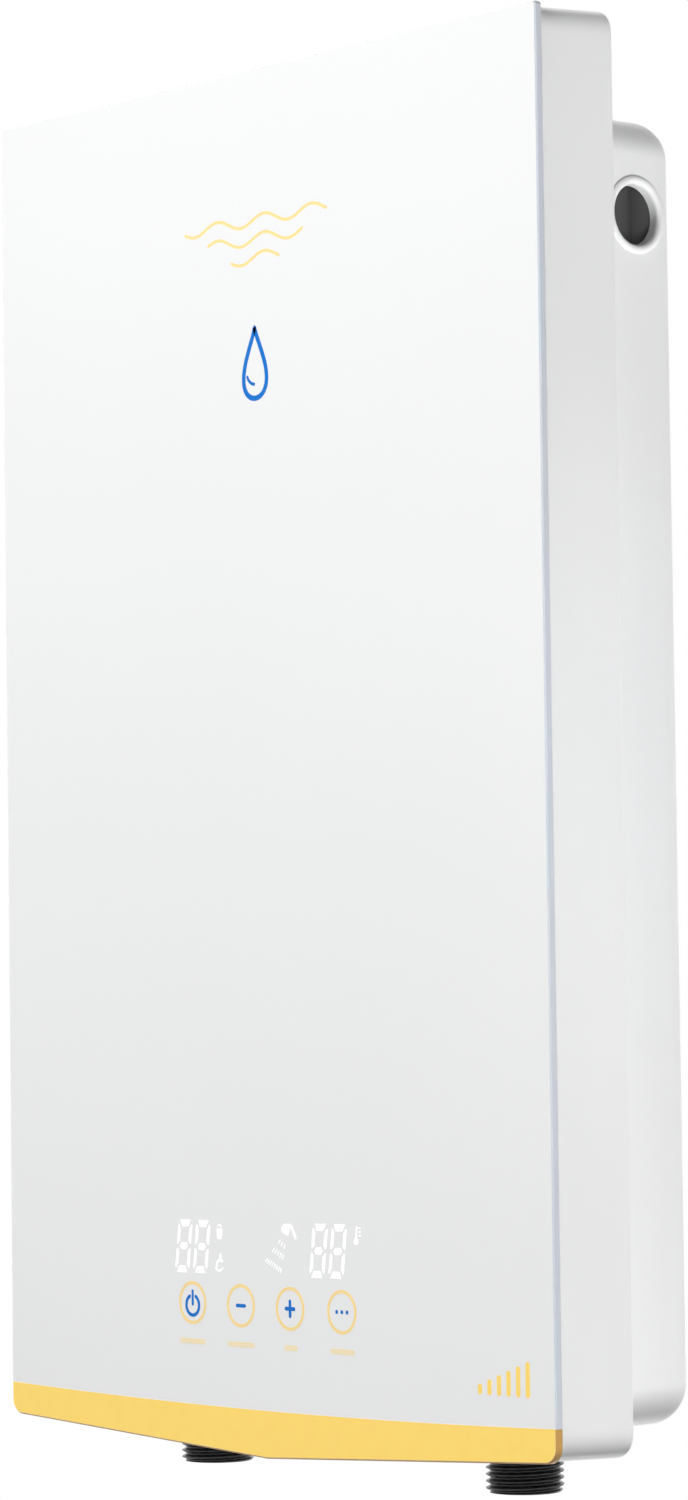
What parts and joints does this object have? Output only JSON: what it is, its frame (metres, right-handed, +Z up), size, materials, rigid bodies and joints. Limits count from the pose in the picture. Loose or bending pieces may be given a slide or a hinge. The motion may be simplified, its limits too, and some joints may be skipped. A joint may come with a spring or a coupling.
{
  "type": "tankless water heater",
  "caption": "Slim wall-hung electric tankless water heater with a white glass touch front and threaded water connectors below.",
  "frame": {"origin": "centre of the casing's flat back, on the wall", "axes": "+X to the right of someone facing the heater, +Y into the wall, +Z up; the glass faces -Y"},
  "size_m": [0.228, 0.065, 0.3906],
  "materials": {
    "front_glass": "polished, printed white behind",
    "white_abs": "satin white",
    "black_nylon": "satin black",
    "black_rubber": "matt black",
    "grey_rubber": "matt grey",
    "cast_aluminium": "as cast",
    "stainless": "bright",
    "copper": "drawn copper",
    "brass": "turned",
    "natural_nylon": "natural",
    "circuit_board": "green solder resist",
    "relay_black": "moulded black",
    "capacitor_yellow": "glossy",
    "transformer_iron": "lacquered",
    "terminal_grey": "moulded grey",
    "button_red": "glossy",
    "lead_brown": "insulation",
    "lead_blue": "insulation",
    "lead_green": "insulation",
    "lead_white": "insulation"
  },
  "bodies": {
    "heater": {"front_glass": "front_glass", "front_frame": "white_abs", "rear_casing": "white_abs", "light_box": "white_abs", "inlet_connector": "black_nylon", "outlet_connector": "black_nylon", "flow_sensor_body": "black_nylon", "flow_sensor_cover": "black_nylon", "display_carrier": "black_nylon", "cable_seal": "black_rubber", "casing_seal": "grey_rubber", "tank_gasket": "grey_rubber", "heater_tank": "cast_aluminium", "tank_head": "cast_aluminium", "triac_plate": "cast_aluminium", "inlet_filter": "stainless", "rotor_axle": "stainless", "head_bolt_1": "stainless", "head_bolt_2": "stainless", "head_bolt_3": "stainless", "head_bolt_4": "stainless", "heating_element_1": "stainless", "heating_element_2": "stainless", "heating_element_3": "stainless", "cutout_bracket": "stainless", "touch_spring_1": "stainless", "touch_spring_2": "stainless", "touch_spring_3": "stainless", "touch_spring_4": "stainless", "cover_screw_1": "stainless", "cover_screw_2": "stainless", "inlet_pipe": "copper", "outlet_pipe": "copper", "element_busbar": "copper", "inlet_sensor": "brass", "outlet_sensor": "brass", "cable_clamp": "natural_nylon", "power_board": "circuit_board", "display_board": "circuit_board", "hall_board": "circuit_board", "relay_1": "relay_black", "relay_2": "relay_black", "thermal_cutout": "relay_black", "triac": "relay_black", "leakage_coil": "relay_black", "buzzer": "relay_black", "capacitor": "capacitor_yellow", "transformer": "transformer_iron", "terminal_block": "terminal_grey", "live_lead": "lead_brown", "heater_live_lead": "lead_brown", "neutral_lead": "lead_blue", "heater_neutral_lead": "lead_blue", "earth_lead": "lead_green", "triac_lead": "lead_white", "ribbon_cable": "lead_white"},
    "flow_rotor": {"flow_rotor": "natural_nylon"},
    "reset_button": {"reset_button": "button_red"}
  },
  "joints": [
    {"name": "flow_rotor_spin", "type": "hinge", "parent": "heater", "child": "flow_rotor", "pos_m": [0.064, -0.0289, -0.1425], "axis": [0, 1, 0], "continuous": true},
    {"name": "reset_button_press", "type": "slide", "parent": "heater", "child": "reset_button", "axis": [0, 1, 0], "range_m": [0, 0.0015], "stiffness_N_per_m": 800}
  ]
}
